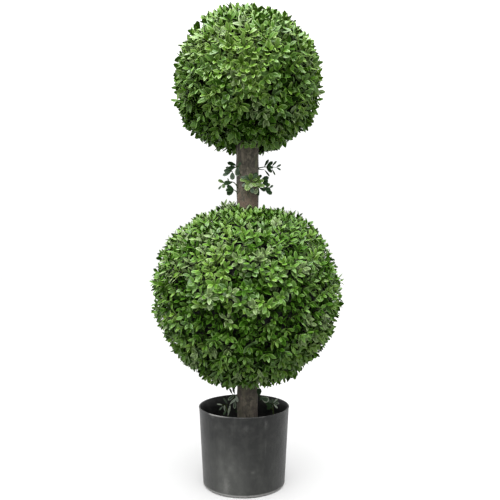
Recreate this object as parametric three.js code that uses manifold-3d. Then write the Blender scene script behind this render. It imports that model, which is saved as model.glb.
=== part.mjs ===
// Potted boxwood topiary: two clipped balls of small leaves on one straight trunk, set in a round pot.
// Lengths are in millimetres, +Z is up, and the origin is the centre of the pot's underside.
import * as THREE from 'three';
import { mergeVertices } from 'three/addons/utils/BufferGeometryUtils.js';
import Module from 'manifold-3d';

const wasm = await Module();
wasm.setup();

// Driving dimensions
const clearance = 0.3;

const pot = {
  height: 148,
  rimRadius: 87.3,
  baseRadius: 78.4,
  lip: 1.4,
  lipHeight: 7,
  wall: 2.2,
  floor: 4,
  footRound: 4,
  grooveInner: 52,
  grooveOuter: 68,
  grooveDepth: 1.6,
  segments: 48,
  drainHoles: 6,
  drainRadius: 4.5,
};

const fill = { top: 100, crown: 4, segments: 32 };

const trunk = {
  x: 6.5,
  foot: 20,
  top: 780,
  footRadius: 19.8,
  topRadius: 21.5,
  sides: 18,
  rings: 20,
  swell: 0.03,
};

// Each ball is a little flatter than it is wide. Shoots stand evenly over a solid core: one in
// three comes straight out of it, and the others fork from the nearest of those.
const balls = {
  lower_ball: { height: 361, reach: 184, squash: 0.963, core: 145, detail: 4, shoots: 102, seed: 11 },
  upper_ball: { height: 778, reach: 144, squash: 0.958, core: 107, detail: 3, shoots: 62, seed: 29 },
};

const ballShoot = {
  forkEvery: 3,
  footRadius: 3.4,
  forkRadius: 2.6,
  tipRadius: 1.8,
  sunk: 7,
  forkRise: 7,
  lastStretch: 7,
  splay: 0.86,
  splayRange: 0.3,
  ragged: 0.04,
  leaf: { length: 35, width: 22, thickness: 1.8, fold: 0.1, droop: 0.1 },
};

// The soft tufts in a core's surface: their depth, and how closely they follow each other.
const tufts = { depth: 4, closeness: 15 };

// Loose sprigs at life size. A stem arches out of its carrier and side shoots leave it by turns.
const sprigShoot = {
  footRadius: 1.6,
  forkRadius: 1.2,
  tipRadius: 0.9,
  sunk: 3,
  arch: 0.08,
  firstFork: 0.35,
  forkedShare: 0.5,
  spread: 9,
  spreadRange: 0.12,
  lean: 0.75,
  splay: 0.95,
  splayRange: 0.4,
  leaf: { length: 16.5, width: 10, thickness: 0.9, fold: 0.1, droop: 0.12 },
};

// On the trunk: height, bearing round the trunk from +X, length, rise above level, side shoots.
const trunkSprigs = {
  sprig_left_high: { z: 605, bearing: 205, length: 15, rise: 0, forks: 2, seed: 3 },
  sprig_left_low: { z: 572, bearing: 200, length: 22, rise: -14, forks: 3, seed: 9 },
  sprig_front: { z: 578, bearing: 276, length: 14, rise: -25, forks: 2, seed: 7 },
  sprig_right_low: { z: 578, bearing: 325, length: 24, rise: -12, forks: 3, seed: 8 },
  sprig_right_high: { z: 604, bearing: 352, length: 34, rise: 6, forks: 2, seed: 13 },
  sprig_back: { z: 592, bearing: 80, length: 22, rise: 5, forks: 3, seed: 17 },
};

// In the pot: place on the fill, bearing of the lean, length, rise above level, side shoots.
const potSprigs = {
  sprig_pot_left: { x: -22, y: -16, bearing: 190, length: 58, rise: 74, forks: 4, seed: 19 },
  sprig_pot_right: { x: 38, y: -10, bearing: 345, length: 62, rise: 78, forks: 4, seed: 23 },
  sprig_pot_back: { x: 2, y: 36, bearing: 100, length: 56, rise: 74, forks: 3, seed: 31 },
};

const goldenAngle = Math.PI * (3 - Math.sqrt(5));
const up = new THREE.Vector3(0, 0, 1);

const leafGreen = new THREE.MeshStandardMaterial({ color: 0x47702b, roughness: 0.5, metalness: 0 });
const sprigGreen = new THREE.MeshStandardMaterial({ color: 0x3a6030, roughness: 0.5, metalness: 0 });
const barkBrown = new THREE.MeshStandardMaterial({ color: 0x5a4f45, roughness: 0.85, metalness: 0 });
const potGrey = new THREE.MeshStandardMaterial({ color: 0x3d3e3d, roughness: 0.55, metalness: 0 });
const fillBlack = new THREE.MeshStandardMaterial({ color: 0x1d1b19, roughness: 0.95, metalness: 0 });

// Solids and meshes

// The closed solid of a geometry, for joining and cutting.
function solidOf(geometry) {
  const bare = new THREE.BufferGeometry();
  bare.setAttribute('position', geometry.getAttribute('position'));
  if (geometry.index) {
    bare.setIndex(geometry.index);
  }
  const merged = mergeVertices(bare, 1e-4);
  return new wasm.Manifold(new wasm.Mesh({
    numProp: 3,
    vertProperties: merged.attributes.position.array,
    triVerts: new Uint32Array(merged.index.array),
  }));
}

// The outer skin of the largest piece: loose scraps are dropped and sealed hollows are filled.
function mainBody(solid) {
  return solid.decompose().reduce((best, piece) => (piece.volume() > best.volume() ? piece : best));
}

function geometryOf(solid) {
  const mesh = solid.getMesh();
  const geometry = new THREE.BufferGeometry();
  geometry.setAttribute('position', new THREE.BufferAttribute(new Float32Array(mesh.vertProperties), 3));
  geometry.setIndex(new THREE.BufferAttribute(new Uint32Array(mesh.triVerts), 1));
  geometry.computeVertexNormals();
  return geometry;
}

function geometryFrom(corners, faces) {
  const geometry = new THREE.BufferGeometry();
  const numbers = corners.flatMap((corner) => corner.toArray());
  geometry.setAttribute('position', new THREE.Float32BufferAttribute(numbers, 3));
  geometry.setIndex(faces);
  return geometry;
}

function namedMesh(name, geometry, material) {
  const mesh = new THREE.Mesh(geometry, material);
  mesh.name = name;
  return mesh;
}

function turnedProfile(points, segments) {
  const outline = points.map(([radius, z]) => new THREE.Vector2(radius, z));
  return solidOf(new THREE.LatheGeometry(outline, segments).rotateX(Math.PI / 2));
}

// Growth

// A repeatable sequence of numbers from 0 to 1.
function sequence(seed) {
  let state = seed;
  return () => {
    state = (Math.imul(state, 1664525) + 1013904223) >>> 0;
    return state / 4294967296;
  };
}

// Directions spread evenly over a sphere, along a golden spiral.
function spiral(count) {
  return Array.from({ length: count }, (_, i) => {
    const height = 1 - (2 * i + 1) / count;
    const out = Math.sqrt(1 - height * height);
    return new THREE.Vector3(out * Math.cos(i * goldenAngle), out * Math.sin(i * goldenAngle), height);
  });
}

// A direction square to a given one, turned about it by an angle.
function squareTo(direction, turn) {
  const guess = Math.abs(direction.z) > 0.9 ? new THREE.Vector3(1, 0, 0) : up.clone();
  return guess.cross(direction).normalize().applyAxisAngle(direction, turn);
}

// A tapering tube through a line of points. Its foot is closed by a flat cut and its tip is open,
// and it tells the frame of its last ring.
function tube(points, radii, sides, turn = 0, swell = () => 1) {
  const last = points.length - 1;
  const corners = [];
  const faces = [];
  const side = squareTo(points[1].clone().sub(points[0]).normalize(), turn);
  let along;
  let other;
  points.forEach((point, i) => {
    along = points[Math.min(i + 1, last)].clone().sub(points[Math.max(i - 1, 0)]).normalize();
    side.addScaledVector(along, -side.dot(along)).normalize();
    other = along.clone().cross(side);
    for (let j = 0; j < sides; j += 1) {
      const angle = (2 * Math.PI * j) / sides;
      const radius = radii[i] * swell(angle, point.z);
      corners.push(point.clone()
        .addScaledVector(side, radius * Math.cos(angle))
        .addScaledVector(other, radius * Math.sin(angle)));
    }
  });
  for (let i = 0; i < last; i += 1) {
    for (let j = 0; j < sides; j += 1) {
      const a = i * sides + j;
      const b = i * sides + ((j + 1) % sides);
      faces.push(a, b, b + sides, a, b + sides, a + sides);
    }
  }
  for (let j = 1; j < sides - 1; j += 1) {
    faces.push(0, j + 1, j);
  }
  return { corners, faces, side, other, along };
}

function whorlSplays(kind, random) {
  return [0, 1, 2].map(() => kind.splay + kind.splayRange * (random() - 0.5));
}

function clearOfTrunk(point, margin) {
  return point.z > trunk.top + margin || Math.hypot(point.x - trunk.x, point.y) > trunk.topRadius + margin;
}

// A three-sided twig that opens into a whorl of three leaves, all one closed skin. Each leaf is
// carried by one side of the twig's last ring, folds up from its rib and droops to its tip. A leaf
// whose tip doesn't fit is skipped.
function shoot(points, radii, leaf, splays, turn, fits) {
  const sides = splays.length;
  const { corners, faces, side, other, along } = tube(points, radii, sides, turn);
  const ring = corners.length - sides;
  const tip = points[points.length - 1];
  const bud = corners.length;
  corners.push(tip.clone().addScaledVector(along, radii[radii.length - 1]));
  splays.forEach((splay, i) => {
    const a = ring + i;
    const b = ring + ((i + 1) % sides);
    const angle = (2 * Math.PI * (i + 0.5)) / sides;
    const outward = side.clone().multiplyScalar(Math.cos(angle)).addScaledVector(other, Math.sin(angle));
    const rib = along.clone().multiplyScalar(Math.cos(splay)).addScaledVector(outward, Math.sin(splay));
    const across = along.clone().cross(outward);
    const face = rib.clone().cross(across);
    const root = corners[a].clone().lerp(corners[b], 0.5);
    if (!fits(root.clone().addScaledVector(rib, leaf.length))) {
      faces.push(bud, a, b);
      return;
    }
    const at = (lengthwise, sideways, raised) => root.clone()
      .addScaledVector(rib, lengthwise * leaf.length)
      .addScaledVector(across, sideways * leaf.width)
      .addScaledVector(face, raised);
    const fold = leaf.fold * leaf.width;
    const sag = leaf.droop * leaf.length;
    const left = corners.length;
    const [tipEnd, right, top, under] = [left + 1, left + 2, left + 3, left + 4];
    corners.push(
      at(0.56, -0.5, fold),
      at(1, 0, -sag),
      at(0.56, 0.5, fold),
      at(0.5, 0, 0.5 * leaf.thickness),
      at(0.5, 0, -0.5 * leaf.thickness),
    );
    const upperRim = [bud, a, left, tipEnd, right, b];
    upperRim.forEach((corner, k) => faces.push(top, corner, upperRim[(k + 1) % upperRim.length]));
    const lowerRim = [a, b, right, tipEnd, left];
    lowerRim.forEach((corner, k) => faces.push(under, corner, lowerRim[(k + 1) % lowerRim.length]));
  });
  return solidOf(geometryFrom(corners, faces));
}

// Pot and fill

// The outer wall's straight slope, below the lip.
function potWall(z) {
  return THREE.MathUtils.lerp(pot.baseRadius, pot.rimRadius - pot.lip, z / pot.height);
}

function potGeometry() {
  const lipFoot = pot.height - pot.lipHeight;
  const foot = [1, 2, 3].map((step) => {
    const angle = (step / 3) * (Math.PI / 2);
    return [
      potWall(pot.footRound) - pot.footRound * (1 - Math.sin(angle)),
      pot.footRound * (1 - Math.cos(angle)),
    ];
  });
  let solid = turnedProfile([
    [0, 0],
    [pot.grooveInner, 0],
    [pot.grooveInner + 1, pot.grooveDepth],
    [pot.grooveOuter - 1, pot.grooveDepth],
    [pot.grooveOuter, 0],
    [potWall(pot.footRound) - pot.footRound, 0],
    ...foot,
    [potWall(lipFoot - pot.lip), lipFoot - pot.lip],
    [potWall(lipFoot) + pot.lip, lipFoot],
    [pot.rimRadius, pot.height - 1],
    [pot.rimRadius - 0.8, pot.height],
    [pot.rimRadius - pot.lip - pot.wall + 0.8, pot.height],
    [pot.rimRadius - pot.lip - pot.wall, pot.height - 1],
    [potWall(pot.floor) - pot.wall, pot.floor],
    [0, pot.floor],
  ], pot.segments);
  const holeCircle = (pot.grooveInner + pot.grooveOuter) / 2;
  for (let i = 0; i < pot.drainHoles; i += 1) {
    const angle = (2 * Math.PI * (i + 0.5)) / pot.drainHoles;
    const hole = new THREE.CylinderGeometry(pot.drainRadius, pot.drainRadius, 4 * pot.floor, 10);
    hole.rotateX(Math.PI / 2).translate(holeCircle * Math.cos(angle), holeCircle * Math.sin(angle), 0);
    solid = solid.subtract(solidOf(hole));
  }
  return geometryOf(solid);
}

// The plug that fills the pot and holds the trunk, low enough to leave the pot's inside in view.
function fillSolid(gap) {
  const bottom = pot.floor + clearance;
  const wallAt = (z) => potWall(z) - pot.wall - 2 * clearance;
  return turnedProfile([
    [0, bottom],
    [wallAt(bottom), bottom],
    [wallAt(fill.top), fill.top - fill.crown + gap],
    [0.6 * wallAt(fill.top), fill.top - 0.3 * fill.crown + gap],
    [0, fill.top + gap],
  ], fill.segments);
}

// Trunk

function trunkRadius(z) {
  const share = THREE.MathUtils.clamp((z - pot.height) / (balls.upper_ball.height - pot.height), 0, 1);
  return THREE.MathUtils.lerp(trunk.footRadius, trunk.topRadius, share);
}

// The pole's lengthwise ribs and slow bulges, as a share of its radius.
function trunkSwell(angle, z) {
  const ribs = 0.5 * Math.sin(3 * angle + z / 70) + 0.3 * Math.sin(5 * angle - z / 45 + 1);
  return 1 + trunk.swell * (ribs + 0.2 * Math.sin(z / 23));
}

function trunkSolid(gap) {
  const points = [];
  const radii = [];
  for (let i = 0; i <= trunk.rings; i += 1) {
    const z = THREE.MathUtils.lerp(trunk.foot - gap, trunk.top + gap, i / trunk.rings);
    points.push(new THREE.Vector3(trunk.x, 0, z));
    radii.push(trunkRadius(z) + gap * 1.05);
  }
  const { corners, faces } = tube(points, radii, trunk.sides, 0, trunkSwell);
  const top = trunk.rings * trunk.sides;
  for (let j = 1; j < trunk.sides - 1; j += 1) {
    faces.push(top, top + j, top + j + 1);
  }
  return solidOf(geometryFrom(corners, faces));
}

// Clipped balls

// A point of a ball by its direction and radius.
function inBall(ball, direction, radius) {
  return new THREE.Vector3(1, 1, ball.squash).multiply(direction).multiplyScalar(radius)
    .add(new THREE.Vector3(trunk.x, 0, ball.height));
}

function coreSolid(ball) {
  const core = new THREE.IcosahedronGeometry(1, ball.detail);
  const place = core.getAttribute('position');
  const direction = new THREE.Vector3();
  for (let i = 0; i < place.count; i += 1) {
    direction.fromBufferAttribute(place, i).normalize();
    const { x, y, z } = direction.clone().multiplyScalar(tufts.closeness);
    const tuft = Math.sin(x + 1) * Math.sin(1.3 * y + 2) + Math.sin(1.1 * z + x);
    const skin = inBall(ball, direction, ball.core + 0.5 * tufts.depth * tuft);
    place.setXYZ(i, skin.x, skin.y, skin.z);
  }
  return solidOf(core);
}

function ballGeometry(ball) {
  const { leaf } = ballShoot;
  const random = sequence(ball.seed);
  const whorlRadius = ball.reach - leaf.length * Math.cos(ballShoot.splay);
  const fits = (tip) => clearOfTrunk(tip, 0.6 * leaf.width);
  const besideTrunk = 2 * ballShoot.footRadius;
  const directions = spiral(ball.shoots);
  const stems = directions.filter((direction, i) => i % ballShoot.forkEvery === 0
    && clearOfTrunk(inBall(ball, direction, ball.core), besideTrunk));
  const solids = [coreSolid(ball)];
  for (const direction of directions) {
    const stem = stems.reduce((best, other) => (other.dot(direction) > best.dot(direction) ? other : best));
    const straight = stem === direction;
    const end = inBall(ball, direction, whorlRadius - ball.reach * ballShoot.ragged * random());
    const splays = whorlSplays(ballShoot, random);
    const turn = 2 * Math.PI * random();
    const foot = inBall(ball, stem, ball.core + (straight ? -ballShoot.sunk : ballShoot.forkRise));
    const bend = end.clone().addScaledVector(direction, -ballShoot.lastStretch);
    const path = straight ? [foot, end] : [foot, bend, end];
    const radii = straight
      ? [ballShoot.footRadius, ballShoot.tipRadius]
      : [ballShoot.forkRadius, ballShoot.tipRadius, ballShoot.tipRadius];
    if (clearOfTrunk(end, besideTrunk)) {
      solids.push(shoot(path, radii, leaf, splays, turn, fits));
    }
  }
  const whole = wasm.Manifold.union(solids);
  return geometryOf(mainBody(whole.subtract(trunkSolid(clearance))));
}

// Loose sprigs

function heading(bearing, rise) {
  const turn = THREE.MathUtils.degToRad(bearing);
  const lift = THREE.MathUtils.degToRad(rise);
  return new THREE.Vector3(
    Math.cos(turn) * Math.cos(lift),
    Math.sin(turn) * Math.cos(lift),
    Math.sin(lift),
  );
}

// One sprig whose stem starts inside its carrier and is cut off at the carrier's surface.
function sprigGeometry(sprig, root, carrier, fits) {
  const { footRadius, forkRadius, tipRadius, leaf } = sprigShoot;
  const random = sequence(sprig.seed);
  const along = heading(sprig.bearing, sprig.rise);
  const pointAt = (share) => root.clone()
    .addScaledVector(along, sprig.length * share)
    .addScaledVector(up, sprigShoot.arch * sprig.length * Math.sin(Math.PI * share));
  const foot = root.clone().addScaledVector(along, -sprigShoot.sunk);
  const stem = [foot, pointAt(0.5), pointAt(1)];
  const stemRadii = [footRadius, forkRadius, tipRadius];
  const solids = [shoot(stem, stemRadii, leaf, whorlSplays(sprigShoot, random), random(), fits)];
  for (let i = 0; i < sprig.forks; i += 1) {
    const start = pointAt(sprigShoot.firstFork + (sprigShoot.forkedShare * i) / sprig.forks);
    const sideways = squareTo(along, i * goldenAngle + sprig.seed);
    const reach = sprigShoot.spread + sprigShoot.spreadRange * sprig.length * random();
    const end = start.clone()
      .addScaledVector(along, sprigShoot.lean * reach)
      .addScaledVector(sideways, reach);
    const splays = whorlSplays(sprigShoot, random);
    const turn = random();
    if (fits(end)) {
      solids.push(shoot([start, end], [forkRadius, tipRadius], leaf, splays, turn, fits));
    }
  }
  return geometryOf(mainBody(wasm.Manifold.union(solids).subtract(carrier)));
}

const topiary = new THREE.Group();
topiary.add(namedMesh('pot', potGeometry(), potGrey));
topiary.add(namedMesh('pot_fill', geometryOf(fillSolid(0).subtract(trunkSolid(clearance))), fillBlack));
topiary.add(namedMesh('trunk', geometryOf(trunkSolid(0)), barkBrown));
for (const [name, ball] of Object.entries(balls)) {
  topiary.add(namedMesh(name, ballGeometry(ball), leafGreen));
}
const besideTrunk = (point) => clearOfTrunk(point, 0.4 * sprigShoot.leaf.width);
const insidePot = (point) => besideTrunk(point)
  && Math.hypot(point.x, point.y) < pot.baseRadius - sprigShoot.leaf.width;
for (const [name, sprig] of Object.entries(trunkSprigs)) {
  const root = heading(sprig.bearing, 0).multiplyScalar(trunkRadius(sprig.z));
  root.add(new THREE.Vector3(trunk.x, 0, sprig.z));
  topiary.add(namedMesh(name, sprigGeometry(sprig, root, trunkSolid(clearance), besideTrunk), sprigGreen));
}
for (const [name, sprig] of Object.entries(potSprigs)) {
  const root = new THREE.Vector3(sprig.x, sprig.y, fill.top - 0.3 * fill.crown);
  topiary.add(namedMesh(name, sprigGeometry(sprig, root, fillSolid(clearance), insidePot), sprigGreen));
}

export default topiary;
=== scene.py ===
import math

import bpy
import numpy as np
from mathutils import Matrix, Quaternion, Vector, noise


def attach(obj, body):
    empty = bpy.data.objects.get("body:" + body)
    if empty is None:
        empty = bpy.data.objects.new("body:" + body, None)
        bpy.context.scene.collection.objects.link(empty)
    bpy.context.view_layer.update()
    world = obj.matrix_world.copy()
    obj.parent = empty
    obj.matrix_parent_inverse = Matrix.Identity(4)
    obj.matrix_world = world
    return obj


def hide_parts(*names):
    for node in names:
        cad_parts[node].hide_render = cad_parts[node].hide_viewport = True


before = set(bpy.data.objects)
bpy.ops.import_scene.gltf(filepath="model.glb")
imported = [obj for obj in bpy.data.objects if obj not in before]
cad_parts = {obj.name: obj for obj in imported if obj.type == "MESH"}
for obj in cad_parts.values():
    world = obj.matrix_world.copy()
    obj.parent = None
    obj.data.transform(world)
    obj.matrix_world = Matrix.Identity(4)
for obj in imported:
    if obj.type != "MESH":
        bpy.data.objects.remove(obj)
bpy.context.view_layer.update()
print("frame loaded with", len(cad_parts), "nodes")

up = Vector((0, 0, 1))
goldenAngle = math.pi * (3 - math.sqrt(5))


# the trunk's sizes are the source's, in metres
trunk = {
    "x": 0.0065, "foot": 0.02, "top": 0.78,
    "footRadius": 0.0198, "topRadius": 0.0219, "taperFrom": 0.148, "taperTo": 0.778,
    "swell": 0.03,
    "ribs": [(0.5, 3, 70, 0), (0.3, 5, -45, 1), (0.2, 0, 23, 0)],    # weight, turns, pitch in mm, shift
    "sides": 180,
    "cuts": 15,              # twice over, which gives 256 rings
    "squash": 0.14,          # how short it is while it gets its relief, which draws the grain out
    "grainScale": 0.0028, "grainDepth": 0.0011, "lumpScale": 0.011, "lumpDepth": 0.0016,
}


# shader helpers: values of sockets that can be added, multiplied and so on

class ShaderValue:
    def __init__(self, sheet, output):
        self.sheet = sheet
        self.output = output

    def maths(self, operation, first, second):
        return self.sheet.node("ShaderNodeMath", {"operation": operation}, {0: first, 1: second})

    def __add__(self, other):
        return self.maths("ADD", self, other)

    def __sub__(self, other):
        return self.maths("SUBTRACT", self, other)

    def __rsub__(self, other):
        return self.maths("SUBTRACT", other, self)

    def __mul__(self, other):
        return self.maths("MULTIPLY", self, other)

    __radd__ = __add__
    __rmul__ = __mul__


class NodeSheet:
    def __init__(self, owner):
        self.tree = owner.node_tree

    def node(self, kind, settings=None, sockets=None, output=0):
        made = self.tree.nodes.new(kind)
        for key, value in (settings or {}).items():
            setattr(made, key, value)
        for key, value in (sockets or {}).items():
            self.feed(made.inputs[key], value)
        return ShaderValue(self, made.outputs[output])

    def feed(self, socket, value):
        if isinstance(value, ShaderValue):
            self.tree.links.new(value.output, socket)
        else:
            socket.default_value = value

    # a place on the piece in metres, stretched by a scale for each axis
    def place(self, scale=(1, 1, 1), shift=(0, 0, 0)):
        seat = self.node("ShaderNodeTexCoord", output="Object")
        return self.node("ShaderNodeMapping", sockets={"Vector": seat, "Location": shift, "Scale": scale})

    # how far a place lies along one axis: 0 is east, 1 is north, 2 is up
    def along(self, place, axis):
        return self.node("ShaderNodeSeparateXYZ", sockets={0: place}, output=axis)

    # drawn out upwards where the up scale is under 1
    def cloud(self, scale, detail, roughness, distortion=0.0, upScale=1, shift=(0, 0, 0)):
        return self.node("ShaderNodeTexNoise", sockets={
            "Vector": self.place((1, 1, upScale), shift), "Scale": scale, "Detail": detail,
            "Roughness": roughness, "Distortion": distortion})

    # rises from 0 to 1 as the value goes from low to high
    def step(self, value, low, high):
        return self.node("ShaderNodeMapRange", {"interpolation_type": "SMOOTHSTEP"}, {
            "Value": value, "From Min": low, "From Max": high})

    # coats of a piece's colours over the first of them, each laid by its own share
    def coated(self, colours, first, *coats):
        tone = (*colours[first], 1.0)
        for share, name in coats:
            sockets = {0: share, 6: tone, 7: (*colours[name], 1.0)}
            tone = self.node("ShaderNodeMix", {"data_type": "RGBA"}, sockets, output=2)
        return tone

    def bump(self, height, distance):
        return self.node("ShaderNodeBump", sockets={
            "Height": height, "Distance": distance, "Strength": 1.0})

    def dress(self, links):
        shader = self.tree.nodes["Principled BSDF"]
        for name, value in links.items():
            self.feed(shader.inputs[name], value)


def newMaterial(name, colour, roughness, specular):
    material = bpy.data.materials.new(name)
    material.use_nodes = True
    NodeSheet(material).dress({
        "Base Color": (*colour, 1.0), "Roughness": roughness, "Specular IOR Level": specular})
    return material


# mesh helpers

def deselectAll():
    if bpy.context.object and bpy.context.object.mode != "OBJECT":
        bpy.ops.object.mode_set(mode="OBJECT")
    bpy.ops.object.select_all(action="DESELECT")


def selectOnly(piece):
    deselectAll()
    piece.select_set(True)
    bpy.context.view_layer.objects.active = piece


# a primitive is added with nothing else selected
def newPiece(name, primitive, **sizes):
    deselectAll()
    primitive(**sizes)
    piece = bpy.context.object
    piece.name = name
    piece.data.name = name
    return piece


# the piece's place goes into its mesh
def settle(piece):
    selectOnly(piece)
    bpy.ops.object.transform_apply(location=True, rotation=True, scale=True)


def applyModifier(piece, kind, **settings):
    selectOnly(piece)
    modifier = piece.modifiers.new(kind.lower(), kind)
    for key, value in settings.items():
        setattr(modifier, key, value)
    bpy.ops.object.modifier_apply(modifier=modifier.name)


# relief in and out by a procedural texture
def addRelief(piece, name, kind, scale, depth, pattern=None, **settings):
    texture = bpy.data.textures.new(name, kind)
    texture.noise_scale = scale
    for key, value in (pattern or {}).items():
        setattr(texture, key, value)
    applyModifier(piece, "DISPLACE", texture=texture, strength=depth, mid_level=0.5, **settings)


def editAll(piece):
    selectOnly(piece)
    bpy.ops.object.mode_set(mode="EDIT")
    bpy.ops.mesh.select_all(action="SELECT")


# the whole mesh is stretched about the origin and then moved
def reshape(piece, scale, shift=(0, 0, 0)):
    editAll(piece)
    bpy.ops.transform.resize(value=scale, center_override=(0, 0, 0))
    bpy.ops.transform.translate(value=shift)
    bpy.ops.object.mode_set(mode="OBJECT")


# a profile of radius and height turned round the Z axis
def turnedPiece(name, profile, steps):
    piece = newPiece(name, bpy.ops.mesh.primitive_plane_add, size=0.01, location=(0, 0, 0))
    bpy.context.tool_settings.mesh_select_mode = (True, False, False)
    editAll(piece)
    bpy.ops.mesh.merge(type="CENTER")
    bpy.ops.mesh.select_all(action="SELECT")
    radius, height = profile[0]
    bpy.ops.transform.translate(value=(radius, 0, height))
    for nextRadius, nextHeight in profile[1:]:
        step = (nextRadius - radius, 0, nextHeight - height)
        bpy.ops.mesh.extrude_region_move(TRANSFORM_OT_translate={"value": step})
        radius, height = nextRadius, nextHeight
    bpy.ops.mesh.select_all(action="SELECT")
    bpy.ops.mesh.spin(steps=steps, angle=2 * math.pi, center=(0, 0, 0), axis=(0, 0, 1))
    bpy.ops.mesh.select_all(action="SELECT")
    bpy.ops.mesh.remove_doubles(threshold=0.00002)
    bpy.ops.mesh.normals_make_consistent(inside=False)
    bpy.ops.object.mode_set(mode="OBJECT")
    return piece


# a straight round hole along the Z axis
def drill(piece, radius, length, middle, sides):
    cutter = newPiece("cutter", bpy.ops.mesh.primitive_cylinder_add,
                      vertices=sides, radius=radius, depth=length, location=middle)
    settle(cutter)
    applyModifier(piece, "BOOLEAN", operation="DIFFERENCE", object=cutter, solver="EXACT")
    bpy.data.objects.remove(cutter)


def smoothByAngle(piece, degrees):
    selectOnly(piece)
    bpy.ops.object.shade_smooth_by_angle(angle=math.radians(degrees))


def setMaterial(piece, *materials):
    for material in materials:
        piece.data.materials.append(material)


def hand(piece, slotName, *nodes):
    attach(piece, "root")
    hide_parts(*nodes)


# growth: the rules of the source, with their seeds

def sequence(seed):
    factor, step, size = 1664525, 1013904223, 4294967296
    state = seed

    def draw():
        nonlocal state
        state = (state * factor + step) % size
        return state / size
    return draw


# a number drawn from a lowest one and a spread
def varied(span, draw):
    low, spread = span
    return low + spread * draw()


def spiral(count):
    directions = []
    for i in range(count):
        height = 1 - (2 * i + 1) / count
        out = math.sqrt(1 - height * height)
        turn = i * goldenAngle
        directions.append(Vector((out * math.cos(turn), out * math.sin(turn), height)))
    return directions


def squareTo(direction, turn):
    guess = Vector((1, 0, 0)) if abs(direction.z) > 0.9 else up
    return Quaternion(direction, turn) @ guess.cross(direction).normalized()


def heading(bearing, rise):
    turn, lift = math.radians(bearing), math.radians(rise)
    return Vector((math.cos(turn) * math.cos(lift), math.sin(turn) * math.cos(lift), math.sin(lift)))


def clearOfTrunk(point, margin):
    out = math.hypot(point.x - trunk["x"], point.y)
    return point.z > trunk["top"] + margin or out > trunk["topRadius"] + margin


# leaves and twigs, gathered as rows of numbers and made into joined meshes

# a leaf is folded along its midrib, and its margins turn down
leafShape = {
    "stations": [0.25, 0.57, 0.86],
    "halfWidths": [0.31, 0.5, 0.27],
    "across": [-1.0, -0.66, 0.0, 0.66, 1.0],
    "rise": [0.6, 1.4, 0.0, 1.4, 0.6],
    "midrib": [0, 3, 8, 13, 16],
}


# each corner's share of the length, of the width and of the fold
def leafTemplate(halfWidths):
    corners = [(0.0, 0.0, 0.0)]
    for length, half in zip(leafShape["stations"], halfWidths):
        for share, rise in zip(leafShape["across"], leafShape["rise"]):
            corners.append((length, half * share, half * rise))
    corners.append((1.0, 0.0, 0.0))
    # the faces run from the foot over three rows of five corners to the tip
    rows, tip = (1, 6, 11), 16
    columns = range(4)
    faces = [(0, rows[0] + k, rows[0] + k + 1) for k in columns]
    for row, nextRow in zip(rows, rows[1:]):
        faces += [(row + k, nextRow + k, nextRow + k + 1, row + k + 1) for k in columns]
    faces += [(rows[2] + k, tip, rows[2] + k + 1) for k in columns]
    margins = [k in (0, 3) for k in columns] * 3 + [True] * 4
    return np.array(corners), faces, margins


class LeafHeap:
    def __init__(self):
        self.rows = []
        self.tints = []

    def add(self, root, rib, across, length, width, fold, sag, tint):
        face = rib.cross(across)
        self.rows.append((*root, *rib, *across, *face, length, width, fold, sag))
        self.tints.append(tint)


def meshFromArrays(name, corners, faces, faceMaterials):
    mesh = bpy.data.meshes.new(name)
    sizes = [len(face) for face in faces]
    mesh.vertices.add(len(corners))
    mesh.loops.add(sum(sizes))
    mesh.polygons.add(len(faces))
    for group, key, values, kind in (
            (mesh.vertices, "co", corners, np.float32),
            (mesh.loops, "vertex_index", np.concatenate(faces), np.int32),
            (mesh.polygons, "loop_start", np.cumsum([0] + sizes[:-1]), np.int32),
            (mesh.polygons, "material_index", faceMaterials, np.int32),
            (mesh.polygons, "use_smooth", np.ones(len(faces)), bool)):
        group.foreach_set(key, np.asarray(values, dtype=kind).ravel())
    mesh.update(calc_edges=True)
    mesh.validate()
    piece = bpy.data.objects.new(name, mesh)
    bpy.context.scene.collection.objects.link(piece)
    return piece


# the shading breaks along the midribs
def creaseMidribs(mesh, count):
    ends = np.empty(2 * len(mesh.edges), dtype=np.int32)
    mesh.edges.foreach_get("vertices", ends)
    onRib = np.isin(ends.reshape(-1, 2) % count, leafShape["midrib"]).all(axis=1)
    crease = mesh.attributes.new("sharp_edge", "BOOLEAN", "EDGE")
    crease.data.foreach_set("value", onRib)


def leafPiece(name, heap, halfWidths=leafShape["halfWidths"]):
    flat, faces, margins = leafTemplate(halfWidths)
    rows = np.array(heap.rows)
    root, rib, across, face = (rows[:, None, i:i + 3] for i in (0, 3, 6, 9))
    length, width, fold, sag = (rows[:, None, i:i + 1] for i in (12, 13, 14, 15))
    along, aside, rise = (flat[None, :, i:i + 1] for i in range(3))
    height = fold * width * rise - sag * length * along ** 2
    corners = root + rib * (length * along) + across * (width * aside) + face * height
    used = sorted(set(heap.tints))
    tintIndex = {tint: 2 * i for i, tint in enumerate(used)}
    count = len(flat)
    allFaces = []
    materials = []
    for leaf, tint in enumerate(heap.tints):
        start = leaf * count
        allFaces += [tuple(start + corner for corner in f) for f in faces]
        materials += [tintIndex[tint] + int(rim) for rim in margins]
    piece = meshFromArrays(name, corners.reshape(-1, 3), allFaces, materials)
    creaseMidribs(piece.data, count)
    setMaterial(piece, *[material for tint in used for material in leafTints[tint]])
    print(name, len(heap.rows), "leaves")
    return piece


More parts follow.
